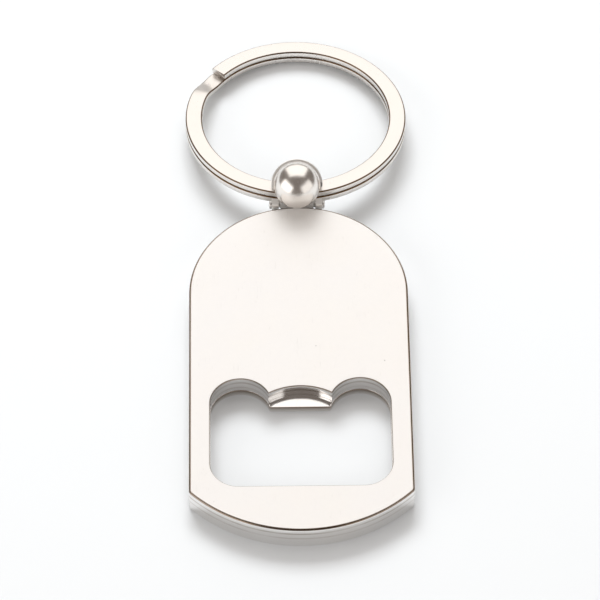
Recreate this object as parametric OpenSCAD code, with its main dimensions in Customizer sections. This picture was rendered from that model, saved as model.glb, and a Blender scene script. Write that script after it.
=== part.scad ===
// Key-ring bottle opener: a thick plated tag with a cap mouth, a hinged yoke
// carrying a ball, and a two-coil split ring that runs through the yoke.
// Millimetres, +Z up. The tag lies on its back face at z = 0, the origin is
// under the centre of its round head, and the key ring points along +Y.

/* [Tag] */
// Width of the tag across its two straight flanks
tag_width = 30.9; // [24:0.1:40]
// Thickness of the tag
tag_thickness = 3.8; // [2.5:0.1:6]
// Distance from the centre of the round head to the lowest point of the foot
tag_drop = 41.1; // [34:0.1:50]
// Radius of the bowed foot
foot_radius = 21.5; // [17:0.1:40]
// Bevel round the front face
front_bevel = 0.35; // [0.1:0.05:0.8]
// Bevel round the back face
back_bevel = 0.15; // [0.05:0.05:0.6]

/* [Cap mouth] */
// Width of the mouth
mouth_width = 25.1; // [20:0.1:27]
// Height of the centres of the two round lobes, measured along Y
lobe_y = -19.55; // [-24:0.05:-15]
// Radius of each lobe
lobe_radius = 4.25; // [3:0.05:5]
// Height of the lower edge of the mouth, measured along Y
mouth_floor_y = -33.6; // [-37:0.1:-30]
// Radius of the two lower corners of the mouth
mouth_corner = 4; // [2:0.1:6]
// Radius of the scoop in the front face, above the lip
scoop_radius = 8.65; // [6:0.05:12]
// Highest point of the scoop, measured along Y
scoop_top_y = -16.6; // [-18:0.05:-14]
// Radius of the two front corners of the lip that hooks under the cap
lip_corner = 0.45; // [0.2:0.05:0.8]
// Front edge of the lip, measured along Y
lip_y = -18.3; // [-20:0.05:-17]
// Thickness of the lip
lip_thickness = 1.2; // [0.8:0.05:2]
// Edge break round the mouth
mouth_break = 0.12; // [0.05:0.01:0.3]

/* [Hinge] */
// Distance of the hinge pin from the centre of the round head
hinge_y = 17.74; // [17:0.01:20]
// Height of the hinge pin above the back face
hinge_z = 1.45; // [1.3:0.01:2]
// Outer radius of the knuckle on the tag
knuckle_radius = 1.05; // [0.9:0.05:1.3]
// Width of the knuckle
knuckle_width = 4.7; // [3:0.1:5]
// Radius of the hinge pin
pin_radius = 0.45; // [0.35:0.01:0.6]
// Running clearance round the pin in the knuckle
pin_clearance = 0.04; // [0.01:0.01:0.1]
// Radius of the pin's two riveted heads
pin_head_radius = 0.62; // [0.5:0.01:0.9]
// Distance over the two pin heads
pin_length = 8.1; // [7.8:0.1:9]

/* [Yoke] */
// Width over the two cheeks
yoke_width = 7.2; // [6:0.1:9]
// Thickness of one cheek
cheek_thickness = 0.95; // [0.6:0.05:1.3]
// Radius of the cheek round the pin
pin_eye_radius = 1.1; // [0.9:0.05:1.4]
// Radius of the cheek round the window for the ring
window_wall_radius = 2.4; // [2.2:0.05:3]
// Radius of the window the ring runs through
window_radius = 1.95; // [1.7:0.05:2.1]
// Outer radius of the cup behind the ball
cup_radius = 3.72; // [3.5:0.01:4]

/* [Ball] */
// Radius of the ball
ball_radius = 3.35; // [2.5:0.01:4]
// Distance of the ball's centre along Y
ball_y = 17.2; // [16:0.01:20]
// Height of the ball's centre
ball_z = 6.55; // [5:0.01:8]
// Lean of the ball's seat, back from level
seat_lean = 39.35; // [0:0.05:60]
// Depth of the seat below the ball's centre
seat_depth = 1.2; // [0.5:0.05:2]

/* [Split ring] */
// Outside diameter of the ring
ring_diameter = 32; // [25:0.5:35]
// Width of the flat strip
strip_width = 2.4; // [1.8:0.05:3]
// Thickness of one coil
strip_thickness = 1.03; // [0.7:0.01:1.2]
// Gap between the two coils
coil_gap = 0.04; // [0.02:0.01:0.1]
// Radius of the strip's rounded edges
strip_edge = 0.28; // [0.1:0.01:0.45]
// Distance of the ring's centre along Y
ring_y = 32.33; // [30:0.01:36]
// Height of the ring's centre
ring_z = 2.69; // [1:0.01:5]
// Slope of the ring, down towards its far side
ring_slope = 5.9; // [0:0.1:12]
// Angle of the cut end of the upper coil, from +X
upper_end = 139; // [90:1:170]
// Angle where the strip starts to drop from the upper to the lower coil
drop_start = 164; // [150:1:175]
// Angle where the strip reaches the lower coil
drop_end = 143; // [140:1:150]
// Angle of the cut end of the lower coil
lower_end = 172; // [165:1:178]

/* [Hidden] */
$fn = 96;
half_width = tag_width / 2;
foot_y = foot_radius - tag_drop;
lobe_x = mouth_width / 2 - lobe_radius;
floor_corner_x = mouth_width / 2 - mouth_corner;
floor_corner_y = mouth_floor_y + mouth_corner;
scoop_y = scoop_top_y - scoop_radius;
ring_mid_radius = (ring_diameter - strip_width) / 2;
// centre of the yoke's window, which is the centre of the strip's section there
eye_y = ring_y - ring_mid_radius * cos(ring_slope);
eye_z = ring_z + ring_mid_radius * sin(ring_slope);
knuckle_bore = pin_radius + pin_clearance;
cheek_bore = pin_radius + 0.01;
seat_gap = 0.02;
rim_depth = 0.3;
rim_cut = 1.6;
coil_level = (strip_thickness + coil_gap) / 2;
// how far the bend leans, and how far its ends run on so that its corners meet
drop_tilt = asin(coil_level / (ring_mid_radius * sin((drop_start - drop_end) / 2)));
mitre = (strip_thickness / 2) * tan(drop_tilt / 2) / ring_mid_radius * 180 / PI;

// half section of a plate with bevelled rims, for turning about Z
function plate_section(r) = [
    [0, 0],
    [r - back_bevel, 0],
    [r, back_bevel],
    [r, tag_thickness - front_bevel],
    [r - front_bevel, tag_thickness],
    [0, tag_thickness]
];

// half section of a cutter that breaks both edges of the hole it makes
function hole_section(r) = [
    [0, -1],
    [r + mouth_break + 1, -1],
    [r, mouth_break],
    [r, tag_thickness - mouth_break],
    [r + mouth_break + 1, tag_thickness + 1],
    [0, tag_thickness + 1]
];

function mirrored(pts) = concat(pts, [for (i = [len(pts) - 1:-1:0]) [-pts[i][0], pts[i][1]]]);

// turns a YZ outline into a slab across X, from x = from to x = to
module across(from, to) {
    translate([from, 0, 0])
        rotate([90, 0, 90])
            linear_extrude(to - from)
                children();
}

// rod along X, centred on the middle plane
module rod(r, length, y, z) {
    translate([-length / 2, y, z])
        rotate([0, 90, 0])
            cylinder(r = r, h = length);
}

// round plug with the same bevels, run on past both faces
function plug_section(r) = [
    [0, -1],
    [r - back_bevel - 1, -1],
    [r, back_bevel],
    [r, tag_thickness - front_bevel],
    [r - front_bevel - 1, tag_thickness + 1],
    [0, tag_thickness + 1]
];

module tag_blank() {
    foot_start = foot_y - 5;
    difference() {
        union() {
            rotate_extrude(angle = 180)
                polygon(plate_section(half_width));
            rotate([90, 0, 0])
                linear_extrude(tag_drop + 2)
                    polygon(mirrored(plate_section(half_width)));
        }
        difference() {
            translate([-half_width - 2, -tag_drop - 4, -1])
                cube([tag_width + 4, tag_drop + 4 + foot_start, tag_thickness + 2]);
            translate([0, foot_y, 0])
                rotate_extrude()
                    polygon(plug_section(foot_radius));
        }
    }
}

// the two lobes and the wide lower part of the mouth, cut straight through
module mouth_hole() {
    for (side = [-1, 1]) {
        translate([side * lobe_x, lobe_y, 0])
            rotate_extrude()
                polygon(hole_section(lobe_radius));
        translate([side * floor_corner_x, floor_corner_y, 0])
            rotate_extrude()
                polygon(hole_section(mouth_corner));
    }
    translate([0, lobe_y, 0])
        rotate([90, 0, 0])
            linear_extrude(lobe_y - floor_corner_y)
                polygon(mirrored(hole_section(mouth_width / 2)));
    translate([0, lobe_y, 0])
        across(-floor_corner_x, floor_corner_x)
            mirror([1, 0])
                polygon(hole_section(lobe_y - mouth_floor_y));
}

// the scoop between the lobes
module scoop_cut() {
    translate([0, scoop_y, 0])
        rotate_extrude(angle = 180)
            polygon(hole_section(scoop_radius));
}

// the lip that stays below the scoop; its two front corners are rounded into the lobes
module lip_block() {
    round_y = lip_y + lip_corner;
    reach = lobe_radius + lip_corner;
    rise = round_y - lobe_y;
    round_x = lobe_x - sqrt(reach * reach - rise * rise);
    touch_x = lobe_x - (lobe_x - round_x) * lobe_radius / reach;
    touch_y = lobe_y + rise * lobe_radius / reach;
    translate([0, 0, -2])
        linear_extrude(lip_thickness + 2) {
            polygon(mirrored([
                [0, lip_y],
                [round_x, lip_y],
                [touch_x, touch_y],
                [touch_x + 0.6, touch_y + 0.9],
                [0, touch_y + 4]
            ]));
            for (side = [-1, 1])
                translate([side * round_x, round_y])
                    circle(lip_corner);
        }
}

module opener_body() {
    color([0.86, 0.85, 0.83])
        difference() {
            union() {
                tag_blank();
                rod(knuckle_radius, knuckle_width, hinge_y, hinge_z);
                translate([-knuckle_width / 2, half_width - 1.5, hinge_z - knuckle_radius])
                    cube([knuckle_width, hinge_y - half_width + 1.5, 2 * knuckle_radius]);
            }
            mouth_hole();
            difference() {
                scoop_cut();
                lip_block();
            }
            rod(knuckle_bore, knuckle_width + 1, hinge_y, hinge_z);
        }
}

module hinge_pin() {
    head_rim = 0.22;
    color([0.74, 0.73, 0.72])
        union() {
            rod(pin_radius, yoke_width + 0.2, hinge_y, hinge_z);
            for (side = [-1, 1])
                translate([side * yoke_width / 2, hinge_y, hinge_z])
                    rotate([0, side * 90, 0])
                        translate([0, 0, 0.01]) {
                            cylinder(r = pin_head_radius, h = head_rim);
                            translate([0, 0, head_rim])
                                cylinder(
                                    r1 = pin_head_radius,
                                    r2 = pin_head_radius - 0.2,
                                    h = pin_length / 2 - yoke_width / 2 - head_rim - 0.01
                                );
                        }
        }
}

// side view of one cheek: the eye for the pin and the wall round the window,
// joined by the two lines that touch both circles
module cheek_outline() {
    dy = eye_y - hinge_y;
    dz = eye_z - hinge_z;
    span = sqrt(dy * dy + dz * dz);
    along = atan2(dz, dy);
    splay = acos((pin_eye_radius - window_wall_radius) / span);
    dir = function(a) [cos(a), sin(a)];
    pin = [hinge_y, hinge_z];
    win = [eye_y, eye_z];
    translate(pin)
        circle(pin_eye_radius);
    translate(win)
        circle(window_wall_radius);
    polygon([
        pin + pin_eye_radius * dir(along + splay),
        win + window_wall_radius * dir(along + splay),
        win + window_wall_radius * dir(along - splay),
        pin + pin_eye_radius * dir(along - splay)
    ]);
}

module at_seat() {
    translate([0, ball_y, ball_z])
        rotate([seat_lean, 0, 0])
            children();
}

// the ball before it is grooved for the ring, grown by gap
module ball_blank(gap) {
    at_seat()
        intersection() {
            sphere(ball_radius + gap);
            translate([-5, -5, -seat_depth - gap])
                cube([10, 10, 10]);
        }
}

module ring_window() {
    rod(window_radius, 12, eye_y, eye_z);
}

module yoke() {
    inner = yoke_width / 2 - cheek_thickness;
    color([0.8, 0.79, 0.78])
        difference() {
            union() {
                for (side = [-1, 1])
                    across(
                        side > 0 ? inner : -yoke_width / 2,
                        side > 0 ? yoke_width / 2 : -inner
                    )
                        cheek_outline();
                at_seat()
                    intersection() {
                        rotate([0, -90, 0])
                            sphere(cup_radius);
                        translate([-5, -rim_cut, -10 - rim_depth])
                            cube([10, 10, 10]);
                    }
            }
            at_seat()
                translate([-5, -5, -rim_depth])
                    cube([10, 10, 10]);
            ball_blank(seat_gap);
            ring_window();
            rod(cheek_bore, 10, hinge_y, hinge_z);
            rod(knuckle_radius + 0.35, 2 * inner, hinge_y, hinge_z);
        }
}

module ball() {
    color([0.72, 0.7, 0.68])
        difference() {
            ball_blank(0);
            ring_window();
        }
}

module strip_section() {
    w = strip_width / 2;
    h = strip_thickness / 2;
    translate([ring_mid_radius, 0]) {
        square([strip_width - 2 * strip_edge, strip_thickness], center = true);
        square([strip_width, strip_thickness - 2 * strip_edge], center = true);
        for (i = [-1, 1])
            for (j = [-1, 1])
                translate([i * (w - strip_edge), j * (h - strip_edge)])
                    circle(strip_edge, $fn = 24);
    }
}

// a level coil between two angles
module coil(from, to, level) {
    translate([0, 0, level])
        rotate([0, 0, from])
            rotate_extrude(angle = to - from)
                strip_section();
}

// the bend where the strip drops from the upper coil to the lower one
module coil_drop() {
    middle = (drop_start + drop_end) / 2;
    reach = (drop_start - drop_end) / 2 + mitre;
    rotate([0, 0, middle])
        rotate([drop_tilt, 0, 0])
            rotate([0, 0, -reach])
                rotate_extrude(angle = 2 * reach)
                    strip_section();
}

module split_ring() {
    color([0.83, 0.82, 0.8])
        translate([0, ring_y, ring_z])
            rotate([-ring_slope, 0, 0])
                union() {
                    coil(drop_start - mitre, 360 + upper_end, coil_level);
                    coil(lower_end, 360 + drop_end + mitre, -coil_level);
                    coil_drop();
                }
}

opener_body();
hinge_pin();
yoke();
ball();
split_ring();
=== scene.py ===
import bpy, bmesh
from math import sin, cos, pi, radians, degrees, sqrt, acos, asin, atan2
from mathutils import Vector, Matrix


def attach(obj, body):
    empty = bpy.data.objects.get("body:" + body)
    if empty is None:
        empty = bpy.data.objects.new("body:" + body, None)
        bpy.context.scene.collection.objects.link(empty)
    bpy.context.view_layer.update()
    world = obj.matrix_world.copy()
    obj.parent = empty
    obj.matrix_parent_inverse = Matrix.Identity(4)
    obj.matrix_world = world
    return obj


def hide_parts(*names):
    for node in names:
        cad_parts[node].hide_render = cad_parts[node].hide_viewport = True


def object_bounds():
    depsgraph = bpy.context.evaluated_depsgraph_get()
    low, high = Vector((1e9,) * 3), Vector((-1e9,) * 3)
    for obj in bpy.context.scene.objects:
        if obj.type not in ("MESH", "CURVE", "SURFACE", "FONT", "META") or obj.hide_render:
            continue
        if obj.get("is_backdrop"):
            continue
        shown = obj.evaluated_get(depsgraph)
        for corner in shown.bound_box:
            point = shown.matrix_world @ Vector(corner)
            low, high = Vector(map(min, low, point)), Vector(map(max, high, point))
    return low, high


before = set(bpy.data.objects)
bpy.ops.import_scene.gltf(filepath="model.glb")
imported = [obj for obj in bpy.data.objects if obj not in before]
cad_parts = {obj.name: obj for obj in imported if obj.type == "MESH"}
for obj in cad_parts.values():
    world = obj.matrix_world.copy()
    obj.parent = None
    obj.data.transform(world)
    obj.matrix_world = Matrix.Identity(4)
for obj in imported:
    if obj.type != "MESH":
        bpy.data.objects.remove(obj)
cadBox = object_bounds()
mm = 0.001

def clamp(v, lo, hi):
    return max(lo, min(hi, v))

def arc(cx, cy, r, fromDeg, toDeg, steps, last=True):
    n = steps + 1 if last else steps
    out = []
    for i in range(n):
        a = radians(fromDeg + (toDeg - fromDeg) * i / steps)
        out.append((cx + r * cos(a), cy + r * sin(a)))
    return out

def line(a, b, steps):
    # leaves the last point to whatever follows
    return [(a[0] + (b[0] - a[0]) * i / steps, a[1] + (b[1] - a[1]) * i / steps) for i in range(steps)]

def level(points, z):
    return [Vector((x * mm, y * mm, z * mm)) for x, y in points]

def across(points, x):
    # an outline drawn in y and z, placed at x
    return [Vector((x * mm, y * mm, z * mm)) for y, z in points]

def addLoop(bm, coords):
    return [bm.verts.new(c) for c in coords]

def skin(bm, loops, closed=True):
    for a, b in zip(loops, loops[1:]):
        n = len(a)
        for i in range(n if closed else n - 1):
            j = (i + 1) % n
            bm.faces.new((a[i], a[j], b[j], b[i]))

def capLoops(bm, loops, normal):
    edges = []
    for loop in loops:
        for i, v in enumerate(loop):
            e = bm.edges.get((v, loop[(i + 1) % len(loop)]))
            e.smooth = False
            edges.append(e)
    bmesh.ops.triangle_fill(bm, use_beauty=True, edges=edges, normal=normal)

def toObject(bm, name, sharpDeg=32):
    bmesh.ops.recalc_face_normals(bm, faces=bm.faces)
    mesh = bpy.data.meshes.new(name)
    bm.to_mesh(mesh)
    bm.free()
    obj = bpy.data.objects.new(name, mesh)
    bpy.context.scene.collection.objects.link(obj)
    for p in mesh.polygons:
        p.use_smooth = True
    if sharpDeg:
        keep = [e.use_edge_sharp for e in mesh.edges]
        mesh.set_sharp_from_angle(angle=radians(sharpDeg))
        for e, k in zip(mesh.edges, keep):
            if k:
                e.use_edge_sharp = True
    return obj

def bake(obj):
    # turns the live modifiers into a plain mesh
    deps = bpy.context.evaluated_depsgraph_get()
    mesh = bpy.data.meshes.new_from_object(obj.evaluated_get(deps))
    obj.modifiers.clear()
    old = obj.data
    obj.data = mesh
    if old.users == 0:
        bpy.data.meshes.remove(old)
    return obj

def boolean(obj, tool, operation):
    mod = obj.modifiers.new("cut", "BOOLEAN")
    mod.operation = operation
    mod.solver = "EXACT"
    mod.object = tool
    bake(obj)
    bpy.data.objects.remove(tool)
    return obj

def resmooth(obj, sharpDeg):
    for p in obj.data.polygons:
        p.use_smooth = True
    obj.data.set_sharp_from_angle(angle=radians(sharpDeg))
    return obj

def rodAlongX(name, r, length, y, z, segments=128):
    bm = bmesh.new()
    ring = arc(y, z, r, 0, 360, segments, last=False)
    a = addLoop(bm, across(ring, -length / 2))
    b = addLoop(bm, across(ring, length / 2))
    skin(bm, [a, b])
    bm.faces.new(a)
    bm.faces.new(b)
    return toObject(bm, name)

def turned(name, profile, place, segments=96, sharpDeg=40):
    # profile is (radius, height) from the axis out and back to the axis
    bm = bmesh.new()
    loops, poles = [], []
    for r, h in profile:
        if r < 1e-6:
            poles.append(bm.verts.new(place @ Vector((0, 0, h * mm))))
            loops.append(None)
        else:
            around = [2 * pi * i / segments for i in range(segments)]
            circle = [Vector((r * mm * cos(a), r * mm * sin(a), h * mm)) for a in around]
            loops.append([bm.verts.new(place @ v) for v in circle])
    body = [l for l in loops if l]
    skin(bm, body)
    for pole, loop in ((poles[0], body[0]), (poles[-1], body[-1])):
        for i in range(segments):
            bm.faces.new((loop[i], loop[(i + 1) % segments], pole))
    return toObject(bm, name, sharpDeg)

class Wire:
    # a socket that can be added, multiplied and so on
    def __init__(self, graph, socket):
        self.graph, self.socket = graph, socket

    def maths(self, operation, *values, clamped=False):
        node = self.graph.tree.nodes.new("ShaderNodeMath")
        node.operation = operation
        node.use_clamp = clamped
        for i, v in enumerate(values):
            self.graph.feed(node.inputs[i], v)
        return Wire(self.graph, node.outputs[0])

    def __add__(self, o): return self.maths("ADD", self, o)
    def __radd__(self, o): return self.maths("ADD", o, self)
    def __sub__(self, o): return self.maths("SUBTRACT", self, o)
    def __rsub__(self, o): return self.maths("SUBTRACT", o, self)
    def __mul__(self, o): return self.maths("MULTIPLY", self, o)
    def __rmul__(self, o): return self.maths("MULTIPLY", o, self)
    def clamp(self): return self.maths("ADD", self, 0.0, clamped=True)
    def most(self, o): return self.maths("MAXIMUM", self, o)

    def ramp(self, a, b, low=0.0, high=1.0):
        # smooth step between a and b
        node = self.graph.node("MapRange", {"interpolation_type": "SMOOTHSTEP"},
                               {"Value": self, "From Min": a, "From Max": b, "To Min": low, "To Max": high})
        return Wire(self.graph, node.outputs[0])

class Graph:
    def __init__(self, tree):
        self.tree = tree

    def feed(self, socket, value):
        if isinstance(value, Wire):
            self.tree.links.new(value.socket, socket)
        elif hasattr(value, "is_output"):
            self.tree.links.new(value, socket)
        else:
            socket.default_value = value

    def node(self, kind, settings=None, inputs=None):
        n = self.tree.nodes.new("ShaderNode" + kind)
        for k, v in (settings or {}).items():
            setattr(n, k, v)
        for k, v in (inputs or {}).items():
            self.feed(n.inputs[k], v)
        return n

    def wire(self, kind, settings=None, inputs=None, out=0):
        return Wire(self, self.node(kind, settings, inputs).outputs[out])

def noise(g, coords, scale, detail=3.0, rough=0.5, stretch=(1, 1, 1), turn=0.0, shift=(0, 0, 0)):
    where = g.node("Mapping", {}, {"Vector": coords, "Scale": stretch,
                                   "Rotation": (0, 0, turn), "Location": shift})
    return g.wire("TexNoise", {}, {"Vector": where.outputs[0], "Scale": scale,
                                   "Detail": detail, "Roughness": rough})

def scratches(g, coords, scale, turn, thin, shift):
    # short fine marks: noise stretched along one direction, cut to a thin line
    lines = noise(g, coords, scale, 1.0, 0.4, (1, 0.03, 1), turn, shift)
    patches = noise(g, coords, 420, 1.0, 0.5, (1, 1, 1), 0.0, shift)
    return (lines - 0.5).maths("ABSOLUTE", lines - 0.5).ramp(thin, 0.0) * patches.ramp(0.60, 0.68)

# scale, direction, thinness and shift of each set of fine marks
scratchSets = [
    (3600, 0.35, 0.010, (0.1, 0.2, 0.3)),
    (3000, 1.25, 0.009, (0.4, 0.1, 0.7)),
    (3300, -0.7, 0.009, (0.9, 0.5, 0.2)),
    (2600, 2.3, 0.008, (0.3, 0.8, 0.6)),
]

def platedMetal(name, look):
    mat = bpy.data.materials.new(name)
    mat.use_nodes = True
    mat.node_tree.nodes.clear()
    g = Graph(mat.node_tree)
    coords = g.node("TexCoord").outputs["Object"]
    # slow cloudiness of the plating, in tone and in polish
    cloud = noise(g, coords, look["cloudScale"], 3.0, 0.55)
    fine = noise(g, coords, look["fineScale"], 3.0, 0.6)
    grain = noise(g, coords, look["grainScale"], 2.0, 0.6)
    marks = scratches(g, coords, *scratchSets[0])
    for scratchSet in scratchSets[1:]:
        marks = marks.most(scratches(g, coords, *scratchSet))
    # a few tiny pits left by polishing
    cells = g.node("TexVoronoi", {"feature": "F1"}, {"Vector": coords, "Scale": look["pitScale"]})
    cellTone = g.wire("SeparateColor", {}, {"Color": cells.outputs["Color"]})
    pits = Wire(g, cells.outputs["Distance"]).ramp(0.075, 0.02) * cellTone.ramp(0.90, 0.94)
    edge = g.wire("Attribute", {"attribute_name": "wallPolishAndShade"}, {}, "Fac") if look["wallPolishAndShade"] else None
    rim = g.wire("Attribute", {"attribute_name": "rimPaintedShade"}, {}, "Fac") if look["rimDark"] else None

    tone = 1.0 + (cloud - 0.5) * look["cloudTone"] + (fine - 0.5) * look["fineTone"]
    tone = tone - marks * look["markTone"] - pits * look["pitTone"]
    # painted shade: darker, browner colour on the rims and in two bands along the walls, standing in for the
    # dark reflections the walls and rims catch
    dark = None
    if edge is not None:
        # painted shade: the walls are a little darker than the faces
        tone = tone - edge * look["wallShadeTone"]
        z = g.wire("SeparateXYZ", {}, {"Vector": coords}, "Z")
        streak = noise(g, coords, 160, 3.0, 0.6, (1, 1, 4))
        # two painted dark reflection lines at fixed heights on the walls, broken up by streaks
        upperBand = z.ramp(2.6 * mm, 2.8 * mm) - z.ramp(2.9 * mm, 3.1 * mm)
        lowerBand = z.ramp(1.6 * mm, 1.8 * mm) - z.ramp(1.8 * mm, 2.1 * mm)
        band = upperBand + lowerBand * 0.6
        dark = edge * band * (streak.ramp(0.30, 0.62) * 0.6 + 0.4) * look["bandDark"]
    if rim is not None:
        # painted shade: the rounded rims are darkened, standing in for the dark reflections along them
        paintedShade = rim * (0.75 + cloud * 0.5) * look["rimDark"]
        dark = paintedShade if dark is None else dark.most(paintedShade)
    r, gr, b = look["color"]
    warm = (cloud - 0.5) * look["cloudWarmth"]
    red, green, blue = tone * (r + warm * 0.5), tone * gr, tone * (b - warm)
    if dark is not None:
        red, green, blue = red * (1.0 - dark * 0.86), green * (1.0 - dark * 0.94), blue * (1.0 - dark)
    color = g.node("CombineColor", {}, {"Red": red, "Green": green, "Blue": blue})
    rough = look["rough"] + (cloud - 0.5) * look["cloudRough"] + (fine - 0.5) * look["fineRough"]
    rough = rough + marks * 0.12 + pits * 0.2
    if edge is not None:
        rough = rough - edge * (look["rough"] - look["edgeRough"])
    height = (fine - 0.5) * look["fineHeight"] + (grain - 0.5) * look["grainHeight"]
    height = height - marks * look["markDepth"] - pits * look["pitDepth"]
    bump = g.node("Bump", {}, {"Height": height, "Strength": look["bumpStrength"], "Distance": 0.00002})
    shader = g.node("BsdfPrincipled", {}, {"Base Color": color.outputs[0], "Metallic": 1.0,
                                           "Roughness": rough.clamp(), "Normal": bump.outputs[0]})
    if edge is not None:
        g.feed(shader.inputs["Metallic"], edge * (1.0 - look["metallic"]) + look["metallic"])
    elif "metallic" in look:
        shader.inputs["Metallic"].default_value = look["metallic"]
    end = g.node("OutputMaterial")
    g.feed(end.inputs["Surface"], shader.outputs[0])
    return mat

# plain nickel paints no shade: the wall, rim and band darkening are off
nickel = dict(color=(0.90, 0.875, 0.83), rough=0.2, edgeRough=0.1, wallPolishAndShade=False, wallShadeTone=0.0,
              cloudScale=95, fineScale=1500, grainScale=5200,
              cloudTone=0.03, fineTone=0.03, cloudWarmth=0.03, cloudRough=0.06, fineRough=0.05,
              markTone=0.05, pitScale=420, pitTone=0.25, fineHeight=0.5, grainHeight=0.35,
              markDepth=0.6, pitDepth=1.0, bumpStrength=0.12, rimDark=0.0, bandDark=0.0)

tag = dict(halfWidth=15.45, thickness=3.8, footRadius=21.5, drop=41.1, cornerRadius=0.9,
           frontEdge=0.35, backEdge=0.15, edgeSteps=6,
           mouthHalf=12.55, lobeX=8.3, lobeY=-19.55, lobeRadius=4.25,
           floorY=-33.6, floorCorner=4.0, scoopTop=-16.6, scoopRadius=8.65,
           lipY=-18.3, lipCorner=0.45, lipThickness=1.2, lipRise=0.35, lipRun=1.65,
           mouthEdge=0.12, ledge=0.05, wallLoop=2.4, rimFade=0.22,
           knuckleRadius=1.05, knuckleHalf=2.35, pinY=17.74, pinZ=1.45, boreRadius=0.49)

def tagOutline(d):
    t = tag
    r = t["halfWidth"] - d
    footY = t["footRadius"] - t["drop"]
    cx = t["halfWidth"] - t["cornerRadius"]
    cy = footY - sqrt((t["footRadius"] - t["cornerRadius"]) ** 2 - cx ** 2)
    lean = degrees(atan2(footY - cy, cx))
    rc = t["cornerRadius"] - d
    pts = arc(0, 0, r, 0, 180, 180, last=False)
    pts += line((-r, 0), (-r, cy), 16)
    pts += arc(-cx, cy, rc, 180, 180 + lean, 12, last=False)
    pts += arc(0, footY, t["footRadius"] - d, 180 + lean, 360 - lean, 120, last=False)
    pts += arc(cx, cy, rc, 360 - lean, 360, 12, last=False)
    pts += line((r, cy), (r, 0), 16)
    return pts

def mouthOutline(d, lip):
    # d is how far the hole has grown; lip swaps the scoop for the lip's outline
    t = tag
    x = t["mouthHalf"] + d
    lobe = t["lobeRadius"] + d
    cornerX = t["mouthHalf"] - t["floorCorner"]
    cornerY = t["floorY"] + t["floorCorner"]
    scoopY = t["scoopTop"] - t["scoopRadius"]
    if lip:
        roundY = t["lipY"] + t["lipCorner"]
        reach = t["lobeRadius"] + t["lipCorner"]
        rise = roundY - t["lobeY"]
        roundX = t["lobeX"] - sqrt(reach ** 2 - rise ** 2)
        stop = degrees(atan2(rise, roundX - t["lobeX"]))
        rc = t["lipCorner"] - d
        middle = arc(roundX, roundY, rc, stop - 180, -90, 8, last=False)
        middle += line((roundX, t["lipY"] + d), (-roundX, t["lipY"] + d), 64)
        middle += arc(-roundX, roundY, rc, -90, -stop, 8, last=False)
    else:
        scoop = t["scoopRadius"] + d
        gap = sqrt(t["lobeX"] ** 2 + (t["lobeY"] - scoopY) ** 2)
        along = (scoop ** 2 - lobe ** 2 + gap ** 2) / (2 * gap)
        side = sqrt(scoop ** 2 - along ** 2)
        ux, uy = t["lobeX"] / gap, (t["lobeY"] - scoopY) / gap
        px = ux * along - uy * side
        py = scoopY + uy * along + ux * side
        stop = degrees(atan2(py - t["lobeY"], px - t["lobeX"]))
        sweep = degrees(atan2(py - scoopY, px))
        middle = arc(0, scoopY, scoop, sweep, 180 - sweep, 80, last=False)
    pts = line((x, cornerY), (x, t["lobeY"]), 12)
    pts += arc(t["lobeX"], t["lobeY"], lobe, 0, stop, 56, last=False)
    pts += middle
    pts += arc(-t["lobeX"], t["lobeY"], lobe, 180 - stop, 180, 56, last=False)
    pts += line((-x, t["lobeY"]), (-x, cornerY), 12)
    pts += arc(-cornerX, cornerY, t["floorCorner"] + d, 180, 270, 32, last=False)
    pts += line((-cornerX, t["floorY"] - d), (cornerX, t["floorY"] - d), 24)
    pts += arc(cornerX, cornerY, t["floorCorner"] + d, 270, 360, 32, last=False)
    return pts

def roundedRims(bottom, top, height, steps):
    # (inset, z) pairs from the back edge to the front edge of a plate
    rims = []
    for i in range(4):
        a = radians(90 * i / 3)
        rims.append((bottom * (1 - sin(a)), bottom * (1 - cos(a))))
    for i in range(steps + 1):
        a = radians(90 * i / steps)
        rims.append((top * (1 - cos(a)), height - top * (1 - sin(a))))
    return rims

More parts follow.
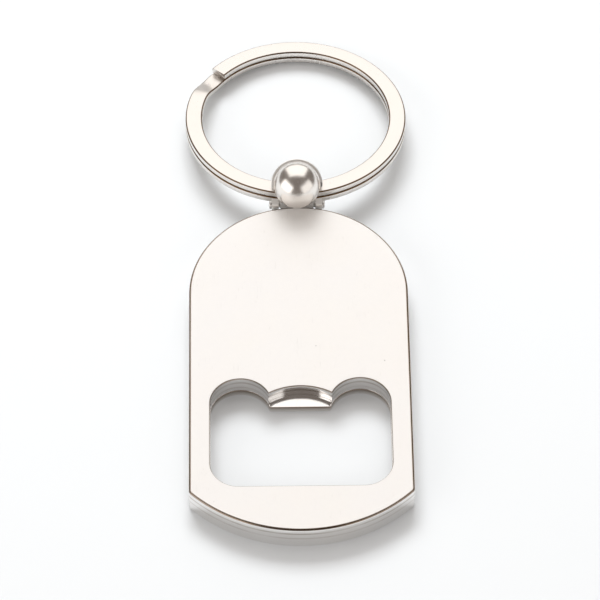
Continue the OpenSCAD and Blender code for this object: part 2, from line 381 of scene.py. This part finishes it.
def makeTag():
    t = tag
    bm = bmesh.new()
    wallLayer = bm.verts.layers.float.new("wallPolishAndShade")
    rimLayer = bm.verts.layers.float.new("rimPaintedShade")
    outer = []
    rims = roundedRims(t["backEdge"], t["frontEdge"], t["thickness"], t["edgeSteps"])
    for d, z in rims:
        loop = addLoop(bm, level(tagOutline(d), z))
        # the walls get the wall mask (polish and painted shade); the front bevel gets the painted rim shade
        paintedShade = 1.0 if 0 < z < t["thickness"] else 0.0
        onBevel = 0.04 < d < 0.30 and z > t["thickness"] / 2
        for v in loop:
            v[wallLayer] = paintedShade
            v[rimLayer] = 1.0 if onBevel else 0.0
        outer.append(loop)
    skin(bm, outer)
    e, ledge, lipTop = t["mouthEdge"], t["ledge"], t["lipThickness"]
    front = t["thickness"]
    # (growth of the hole, height) of each loop, up to the lip's top and then on to the front face
    lower = [(e, 0.0), (e * 0.3, e * 0.3), (-ledge, e),
             (-ledge, lipTop - 0.10), (-ledge * 0.85, lipTop - 0.03), (-ledge * 0.3, lipTop)]
    upper = [(0.0, lipTop), (0.0, t["wallLoop"]), (0.0, front - e - t["rimFade"]),
             (0.0, front - e), (e * 0.3, front - e * 0.3), (e, front)]
    inner = [addLoop(bm, level(mouthOutline(d, True), z)) for d, z in lower]
    inner += [addLoop(bm, level(mouthOutline(d, False), z)) for d, z in upper]
    # the lip's top slopes gently down to its front edge
    for v in inner[len(lower)]:
        if abs(v.co.x) < 4.3 * mm and v.co.y > t["lipY"] * mm:
            v.co.z += t["lipRise"] * mm * clamp((v.co.y / mm - t["lipY"]) / t["lipRun"], 0, 1)
    # the mouth's walls get the same wall mask (polish and painted shade)
    for loop in inner[1:-1]:
        for v in loop:
            v[wallLayer] = 1.0
    # painted shade on the top rim of the mouth and on the lip's top edge
    for loop in (inner[-3], inner[-2], inner[3], inner[4]):
        for v in loop:
            v[rimLayer] = 1.0
    skin(bm, inner)
    capLoops(bm, [outer[-1], inner[-1]], (0, 0, 1))
    capLoops(bm, [outer[0], inner[0]], (0, 0, -1))
    # the ledge half way down the wall keeps its crisp corner
    for loop in (inner[5], inner[6]):
        for i, v in enumerate(loop):
            bm.edges.get((v, loop[(i + 1) % len(loop)])).smooth = False
    body = toObject(bm, "tag_plate", 40)

    bm = bmesh.new()
    back = t["halfWidth"] - 0.9
    def knuckleOutline(d):
        r = t["knuckleRadius"] - d
        pts = arc(t["pinY"], t["pinZ"], r, -90, 90, 40)
        pts += line((t["pinY"], t["pinZ"] + r), (back, t["pinZ"] + r), 4)[1:]
        pts += line((back, t["pinZ"] + r), (back, t["pinZ"] - r), 4)
        pts += line((back, t["pinZ"] - r), (t["pinY"], t["pinZ"] - r), 4)
        return pts
    def bore(d):
        return arc(t["pinY"], t["pinZ"], t["boreRadius"] + d, 0, 360, 48, last=False)
    h = t["knuckleHalf"]
    stations = [(0.12, -h), (0.035, -h + 0.035), (0, -h + 0.12), (0, h - 0.12), (0.035, h - 0.035), (0.12, h)]
    shell = [addLoop(bm, across(knuckleOutline(d), x)) for d, x in stations]
    hole = [addLoop(bm, across(bore(d * 0.5), x)) for d, x in stations]
    skin(bm, shell)
    skin(bm, hole)
    capLoops(bm, [shell[0], hole[0]], (-1, 0, 0))
    capLoops(bm, [shell[-1], hole[-1]], (1, 0, 0))
    knuckle = toObject(bm, "tag_knuckle", 40)
    mesh = bpy.data.meshes.new("opener")
    bm = bmesh.new()
    bm.from_mesh(body.data)
    bm.from_mesh(knuckle.data)
    bm.to_mesh(mesh)
    bm.free()
    bpy.data.objects.remove(body)
    bpy.data.objects.remove(knuckle)
    obj = bpy.data.objects.new("opener", mesh)
    bpy.context.scene.collection.objects.link(obj)
    # the wall tone, rim and band strengths set the painted shade on the walls, the rims and the wall bands
    look = dict(nickel, color=(0.905, 0.89, 0.875), rough=0.62, metallic=0.5, edgeRough=0.12,
                wallPolishAndShade=True, wallShadeTone=0.03, rimDark=0.8, bandDark=0.42)
    obj.data.materials.clear()
    obj.data.materials.append(platedMetal("tagPlating", look))
    return obj

opener = makeTag()
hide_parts("opener_body")
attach(opener, "opener")
print("tag built,", len(opener.data.polygons), "faces")

ball = dict(radius=3.35, y=17.2, z=6.55, lean=39.35, seatDepth=1.2, seatGap=0.02)
yoke = dict(width=7.2, cheek=0.95, eyeRadius=1.1, wallRadius=2.4, windowRadius=1.95,
            windowY=17.61, windowZ=4.21, cupRadius=3.72, rim=0.3, rimCut=1.6, edge=0.06, pinHole=0.46)

def seatFrame():
    centre = Matrix.Translation((0, ball["y"] * mm, ball["z"] * mm))
    return centre @ Matrix.Rotation(radians(ball["lean"]), 4, "X")

def windowTool(extra=0.0):
    return rodAlongX("window", yoke["windowRadius"] + extra, 14, yoke["windowY"], yoke["windowZ"], 160)

def makeBall():
    r, depth, soft = ball["radius"], ball["seatDepth"], 0.08
    steps = 90
    low = asin(-(depth - soft) / r)
    flat = sqrt(r * r - depth * depth)
    profile = [(0, -depth), (flat - 0.12, -depth), (flat - 0.02, -depth + 0.02)]
    for i in range(steps):
        a = low + (pi / 2 - low) * i / steps
        profile.append((r * cos(a), r * sin(a)))
    profile.append((0, r))
    obj = turned("ballSphere", profile, seatFrame(), 144, 40)
    boolean(obj, windowTool(), "DIFFERENCE")
    resmooth(obj, 35)
    obj.name = "ballBead"
    look = dict(nickel, color=(0.88, 0.845, 0.81), rough=0.24, cloudTone=0.05, fineRough=0.04,
                pitScale=700, bumpStrength=0.08)
    obj.data.materials.clear()
    obj.data.materials.append(platedMetal("ballPlating", look))
    return obj

def cheekOutline(d):
    y, t = yoke, tag
    dy, dz = y["windowY"] - t["pinY"], y["windowZ"] - t["pinZ"]
    span = sqrt(dy * dy + dz * dz)
    along = degrees(atan2(dz, dy))
    splay = degrees(acos((y["eyeRadius"] - y["wallRadius"]) / span))
    pts = arc(y["windowY"], y["windowZ"], y["wallRadius"] - d, along - splay, along + splay, 96)
    pts += arc(t["pinY"], t["pinZ"], y["eyeRadius"] - d, along + splay, along - splay + 360, 48)
    return pts

def makeCheek(side):
    bm = bmesh.new()
    e = yoke["edge"]
    a, b = yoke["width"] / 2 - yoke["cheek"], yoke["width"] / 2
    stations = [(e, a), (e * 0.3, a + e * 0.3), (0, a + e), (0, b - e), (e * 0.3, b - e * 0.3), (e, b)]
    shell = [addLoop(bm, across(cheekOutline(d), side * x)) for d, x in stations]
    pinHole, window = [], []
    for d, x in stations:
        eye = arc(tag["pinY"], tag["pinZ"], yoke["pinHole"] + d * 0.4, 0, 360, 48, last=False)
        pinHole.append(addLoop(bm, across(eye, side * x)))
    for d, x in stations:
        opening = arc(yoke["windowY"], yoke["windowZ"], yoke["windowRadius"] + d, 0, 360, 128, last=False)
        window.append(addLoop(bm, across(opening, side * x)))
    for loops in (shell, pinHole, window):
        skin(bm, loops)
    capLoops(bm, [shell[0], pinHole[0], window[0]], (-side, 0, 0))
    capLoops(bm, [shell[-1], pinHole[-1], window[-1]], (side, 0, 0))
    return toObject(bm, "cheek", 40)

def makeCup():
    # a bowl behind the ball: inner wall, floor of the seat, outer wall
    r, seat, rim = yoke["cupRadius"], ball["radius"] + ball["seatGap"], yoke["rim"]
    depth = ball["seatDepth"] + ball["seatGap"]
    profile = [(0, -depth), (sqrt(seat ** 2 - depth ** 2), -depth)]
    for i in range(1, 13):
        z = -depth + (depth - rim - 0.05) * i / 12
        profile.append((sqrt(seat ** 2 - z * z), z))
    profile.append((sqrt(seat ** 2 - rim * rim) + 0.06, -rim))
    profile.append((sqrt(r * r - rim * rim) - 0.08, -rim))
    for i in range(60):
        a = asin((rim + 0.06) / r) + (pi / 2 - asin((rim + 0.06) / r)) * i / 60
        profile.append((r * cos(a), -r * sin(a)))
    profile.append((0, -r))
    obj = turned("cup", profile, seatFrame(), 144, 40)
    bm = bmesh.new()
    bmesh.ops.create_cube(bm, size=20 * mm)
    bmesh.ops.translate(bm, verts=bm.verts, vec=(0, (-yoke["rimCut"] - 10) * mm, 0))
    bmesh.ops.transform(bm, verts=bm.verts, matrix=seatFrame())
    boolean(obj, toObject(bm, "front"), "DIFFERENCE")
    boolean(obj, windowTool(), "DIFFERENCE")
    return obj

def makeYoke():
    obj = makeCup()
    for side in (-1, 1):
        cheek = makeCheek(side)
        # the tops of the cheeks stop at the rim's plane and make room for the ball
        bm = bmesh.new()
        bmesh.ops.create_cube(bm, size=20 * mm)
        bmesh.ops.translate(bm, verts=bm.verts, vec=(0, 0, (10 - yoke["rim"]) * mm))
        bmesh.ops.transform(bm, verts=bm.verts, matrix=seatFrame())
        boolean(cheek, toObject(bm, "above"), "DIFFERENCE")
        bm = bmesh.new()
        seatRadius = (ball["radius"] + ball["seatGap"]) * mm
        bmesh.ops.create_uvsphere(bm, u_segments=128, v_segments=96, radius=seatRadius)
        seatFloor = (0, 0, -(ball["seatDepth"] + ball["seatGap"]) * mm)
        bmesh.ops.bisect_plane(bm, geom=bm.verts[:] + bm.edges[:] + bm.faces[:],
                               plane_co=seatFloor, plane_no=(0, 0, -1), clear_outer=True)
        bmesh.ops.holes_fill(bm, edges=bm.edges)
        bmesh.ops.transform(bm, verts=bm.verts, matrix=seatFrame())
        boolean(cheek, toObject(bm, "seat"), "DIFFERENCE")
        boolean(obj, cheek, "UNION")
    resmooth(obj, 35)
    obj.name = "yokeBody"
    look = dict(nickel, color=(0.94, 0.925, 0.90), rough=0.34, metallic=0.7, bumpStrength=0.1)
    obj.data.materials.clear()
    obj.data.materials.append(platedMetal("yokePlating", look))
    return obj

bead = makeBall()
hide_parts("ball")
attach(bead, "yoke")
yokeBody = makeYoke()
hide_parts("yoke")
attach(yokeBody, "yoke")
print("ball and yoke built,", len(bead.data.polygons), "and", len(yokeBody.data.polygons), "faces")

pin = dict(radius=0.45, headRadius=0.62, half=4.05, yokeHalf=3.6, head=0.22, domeSteps=7)

def makePin():
    p = pin
    headStart = p["yokeHalf"] + 0.01
    domeStart = p["yokeHalf"] + p["head"]
    right = [(p["radius"], 0.0), (p["radius"], headStart), (p["headRadius"] - 0.03, headStart),
             (p["headRadius"], p["yokeHalf"] + 0.04), (p["headRadius"], domeStart)]
    for i in range(1, p["domeSteps"] + 1):
        a = radians(90 * i / p["domeSteps"])
        r = p["headRadius"] * cos(a) ** 0.6 if i < p["domeSteps"] else 0
        right.append((r, domeStart + (p["half"] - p["yokeHalf"] - p["head"]) * sin(a)))
    left = [(r, -h) for r, h in reversed(right[1:])]
    centre = Matrix.Translation((0, tag["pinY"] * mm, tag["pinZ"] * mm))
    place = centre @ Matrix.Rotation(radians(90), 4, "Y")
    obj = turned("hingePin", left + right, place, 64, 40)
    obj.data.materials.append(platedMetal("pinSteel", dict(nickel, color=(0.74, 0.72, 0.70), rough=0.26)))
    return obj

hingePin = makePin()
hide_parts("hinge_pin")
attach(hingePin, "yoke")
print("pin built")

ring = dict(diameter=32.0, width=2.4, thickness=1.03, gap=0.04, edge=0.28, y=32.33, z=2.69, slope=5.9,
            upperEnd=139.0, dropStart=164.0, dropEnd=143.0, lowerEnd=172.0, step=1.0,
            cornerSlack=0.012)

def ringPath():
    # one strip: upper coil clockwise from its cut end, the drop, then the lower coil
    r = (ring["diameter"] - ring["width"]) / 2
    half = (ring["thickness"] + ring["gap"]) / 2
    stopUpper = ring["dropStart"] - 360
    stopDrop = ring["dropEnd"] - 360
    stopLower = ring["lowerEnd"] - 720
    n = int((ring["upperEnd"] - stopLower) / ring["step"])
    centre = Matrix.Translation((0, ring["y"] * mm, ring["z"] * mm))
    place = centre @ Matrix.Rotation(radians(-ring["slope"]), 4, "X")
    pts = []
    for i in range(n + 1):
        a = ring["upperEnd"] + (stopLower - ring["upperEnd"]) * i / n
        t = clamp((stopUpper - a) / (stopUpper - stopDrop), 0, 1)
        z = half * cos(pi * (t * 0.8 + 0.2 * t * t * (3 - 2 * t)))
        pts.append((r * mm * cos(radians(a)), r * mm * sin(radians(a)), z * mm))
    return pts, place

def stripTree(mat):
    tree = bpy.data.node_groups.new("stripAlongPath", "GeometryNodeTree")
    face = tree.interface
    face.new_socket("Geometry", in_out="INPUT", socket_type="NodeSocketGeometry")
    for name, low, high in (("Width", 0.0, 0.01), ("Thickness", 0.0, 0.01), ("Edge Radius", 0.0, 0.005)):
        s = face.new_socket(name, in_out="INPUT", socket_type="NodeSocketFloat")
        s.min_value, s.max_value = low, high
    face.new_socket("Geometry", in_out="OUTPUT", socket_type="NodeSocketGeometry")
    add, link = tree.nodes.new, tree.links.new
    start, end = add("NodeGroupInput"), add("NodeGroupOutput")
    curve = add("GeometryNodeMeshToCurve")
    normal = add("GeometryNodeSetCurveNormal")
    normal.mode = "Z_UP"
    box = add("GeometryNodeCurvePrimitiveQuadrilateral")
    fillet = add("GeometryNodeFilletCurve")
    fillet.mode = "POLY"
    fillet.inputs["Count"].default_value = 6
    sweep = add("GeometryNodeCurveToMesh")
    sweep.inputs["Fill Caps"].default_value = True
    real = add("GeometryNodeRealizeInstances")
    paint = add("GeometryNodeSetMaterial")
    paint.inputs["Material"].default_value = mat
    link(start.outputs["Geometry"], curve.inputs[0])
    link(curve.outputs[0], normal.inputs["Curve"])
    link(start.outputs["Width"], box.inputs["Width"])
    link(start.outputs["Thickness"], box.inputs["Height"])
    link(box.outputs[0], fillet.inputs["Curve"])
    link(start.outputs["Edge Radius"], fillet.inputs["Radius"])
    link(normal.outputs[0], sweep.inputs["Curve"])
    link(fillet.outputs[0], sweep.inputs["Profile Curve"])
    link(sweep.outputs[0], real.inputs[0])
    link(real.outputs[0], paint.inputs["Geometry"])
    link(paint.outputs[0], end.inputs[0])
    return tree

def makeRing():
    pts, place = ringPath()
    mesh = bpy.data.meshes.new("ringPath")
    mesh.from_pydata(pts, [(i, i + 1) for i in range(len(pts) - 1)], [])
    obj = bpy.data.objects.new("splitRing", mesh)
    bpy.context.scene.collection.objects.link(obj)
    # rimDark paints shade along the strip's rounded corners
    look = dict(nickel, color=(0.83, 0.80, 0.765), rough=0.28, pitScale=500, rimDark=0.95)
    mat = platedMetal("ringPlating", look)
    tree = stripTree(mat)
    mod = obj.modifiers.new("strip", "NODES")
    mod.node_group = tree
    ids = {s.name: s.identifier for s in tree.interface.items_tree if s.in_out == "INPUT"}
    mod[ids["Width"]] = ring["width"] * mm
    mod[ids["Thickness"]] = ring["thickness"] * mm
    mod[ids["Edge Radius"]] = ring["edge"] * mm
    bake(obj)
    # the first section tells which points are in the strip's rounded corners
    around = len(obj.data.vertices) // len(pts)
    x, y, z = pts[0]
    inCorner = []
    for v in list(obj.data.vertices)[:around]:
        side = abs(sqrt(v.co.x ** 2 + v.co.y ** 2) - sqrt(x * x + y * y))
        rise = abs(v.co.z - z)
        clearOfSide = ring["width"] / 2 * mm - side > ring["cornerSlack"] * mm
        clearOfTop = ring["thickness"] / 2 * mm - rise > ring["cornerSlack"] * mm
        inCorner.append(clearOfSide and clearOfTop)
    # painted shade: the rounded corners are marked for the rim darkening
    rims = obj.data.attributes.new("rimPaintedShade", "FLOAT", "POINT")
    for i in range(len(obj.data.vertices)):
        rims.data[i].value = 1.0 if inCorner[i % around] else 0.0
    obj.data.transform(place)
    bm = bmesh.new()
    bm.from_mesh(obj.data)
    bmesh.ops.remove_doubles(bm, verts=bm.verts, dist=1e-7)
    bmesh.ops.recalc_face_normals(bm, faces=bm.faces)
    bm.to_mesh(obj.data)
    bm.free()
    return resmooth(obj, 50)

splitRing = makeRing()
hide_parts("split_ring")
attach(splitRing, "ring")
print("ring built,", len(splitRing.data.polygons), "faces")

paper = dict(half=1.6, color=(0.80, 0.825, 0.845), rough=0.9, cloudScale=9, cloudTone=0.01)

def makeFloor():
    bm = bmesh.new()
    bmesh.ops.create_grid(bm, x_segments=1, y_segments=1, size=paper["half"])
    obj = toObject(bm, "floor", None)
    mat = bpy.data.materials.new("floorPaper")
    mat.use_nodes = True
    mat.node_tree.nodes.clear()
    g = Graph(mat.node_tree)
    coords = g.node("TexCoord").outputs["Object"]
    tone = 1.0 + (noise(g, coords, paper["cloudScale"], 3.0) - 0.5) * paper["cloudTone"]
    red, green, blue = [tone * c for c in paper["color"]]
    color = g.node("CombineColor", {}, {"Red": red, "Green": green, "Blue": blue})
    shader = g.node("BsdfPrincipled", {}, {"Base Color": color.outputs[0], "Roughness": paper["rough"]})
    shader.inputs["Specular IOR Level"].default_value = 0.1
    end = g.node("OutputMaterial")
    g.feed(end.inputs["Surface"], shader.outputs[0])
    obj.data.materials.append(mat)
    return obj

makeFloor()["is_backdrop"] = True

# the cards are what the metal mirrors; the key and the fill light the rest and throw the shadows
lights = dict(
    key=dict(at=(-0.09, 0.70, 0.72), size=(0.56, 0.40), power=7.4,
             color=(0.975, 0.99, 1.0), mirrored=False),
    frontFill=dict(at=(0.10, -0.62, 0.66), size=(0.80, 0.50), power=0.9,
                   color=(1.0, 0.99, 0.98), mirrored=False),
    backCard=dict(at=(0.0, 0.68, 0.74), size=(1.50, 1.50), power=7.8,
                  color=(1.0, 0.98, 0.955), mirrored=True),
    leftCard=dict(at=(-0.72, -0.42, 0.34), size=(1.05, 0.66), power=3.3,
                  color=(1.0, 0.985, 0.965), mirrored=True),
    rightCard=dict(at=(0.70, -0.46, 0.34), size=(1.05, 0.66), power=1.9,
                   color=(1.0, 0.985, 0.965), mirrored=True),
)
for name, l in lights.items():
    lamp = bpy.data.lights.new(name, "AREA")
    lamp.shape = "RECTANGLE"
    lamp.size, lamp.size_y = l["size"]
    lamp.energy = l["power"]
    lamp.color = l["color"]
    obj = bpy.data.objects.new(name, lamp)
    obj.location = l["at"]
    obj.rotation_euler = (-Vector(l["at"])).to_track_quat("-Z", "Y").to_euler()  # aimed at the tag
    obj.visible_glossy = l["mirrored"]
    bpy.context.scene.collection.objects.link(obj)

room = dict(color=(0.95, 0.83, 0.75, 1), strength=0.20)
world = bpy.data.worlds.new("room")
bpy.context.scene.world = world
world.use_nodes = True
background = world.node_tree.nodes["Background"]
background.inputs["Color"].default_value = room["color"]
background.inputs["Strength"].default_value = room["strength"]

view = dict(at=(-0.00515, -0.3919, 0.5035), tilt=38.0, turn=-0.783, lens=270.3, sensor=36)
camData = bpy.data.cameras.new("view")
camData.lens = view["lens"]
camData.sensor_width = view["sensor"]
camera = bpy.data.objects.new("view", camData)
camera.location = view["at"]
camera.rotation_euler = (radians(view["tilt"]), 0, radians(view["turn"]))
bpy.context.scene.collection.objects.link(camera)
bpy.context.scene.camera = camera
bpy.context.scene.view_settings.view_transform = "Standard"
print("stage and camera ready")

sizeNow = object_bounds()
({"cad": [list(p) if hasattr(p, "__len__") else p for p in cadBox],
           "scene": [list(p) if hasattr(p, "__len__") else p for p in sizeNow]})
